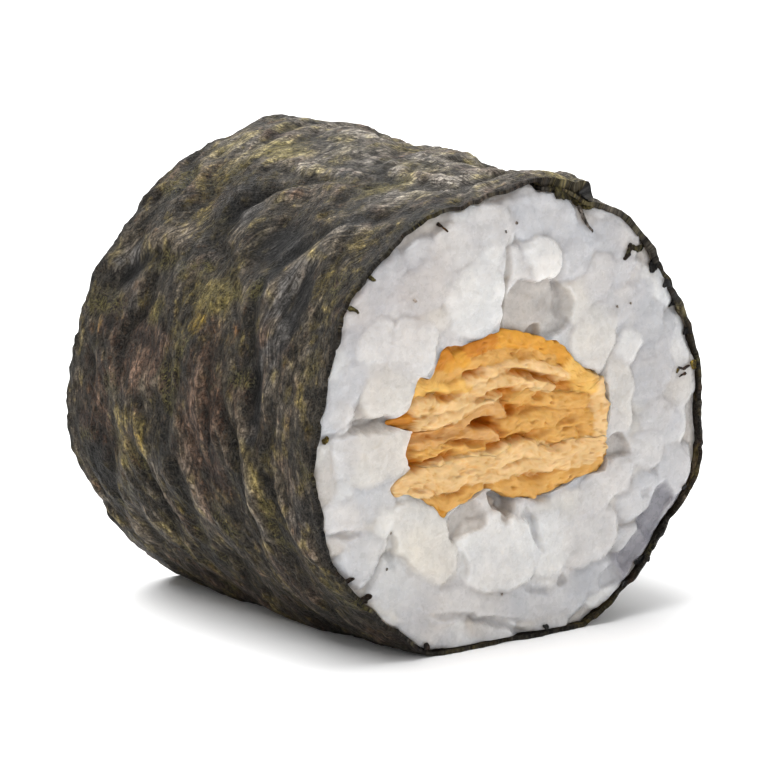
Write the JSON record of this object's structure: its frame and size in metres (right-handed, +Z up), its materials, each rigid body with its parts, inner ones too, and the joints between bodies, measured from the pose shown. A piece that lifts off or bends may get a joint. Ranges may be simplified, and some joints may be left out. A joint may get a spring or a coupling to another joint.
{
  "type": "inari hosomaki",
  "caption": "Thin sushi roll piece on its side: a nori sheet wrapped round short-grain rice, with stacked strips of seasoned fried tofu in the middle.",
  "frame": {"origin": "centre of the bounding box's footprint, on the surface that the roll lies on", "axes": "+Z up; the roll's middle line runs along Y, and the shown cut face looks along -Y"},
  "size_m": [0.0318, 0.0281, 0.0298],
  "materials": {
    "nori": "satin, wrinkled, with fine fibres along the wrap and olive flecks",
    "rice": "soft, moist, slightly see-through",
    "tofu": "spongy and layered, cream inside with a browned skin"
  },
  "bodies": {
    "root": {"nori": "nori", "rice": "rice", "tofu_strip_top": "tofu", "tofu_strip_middle": "tofu", "tofu_strip_bottom": "tofu"}
  },
  "joints": []
}
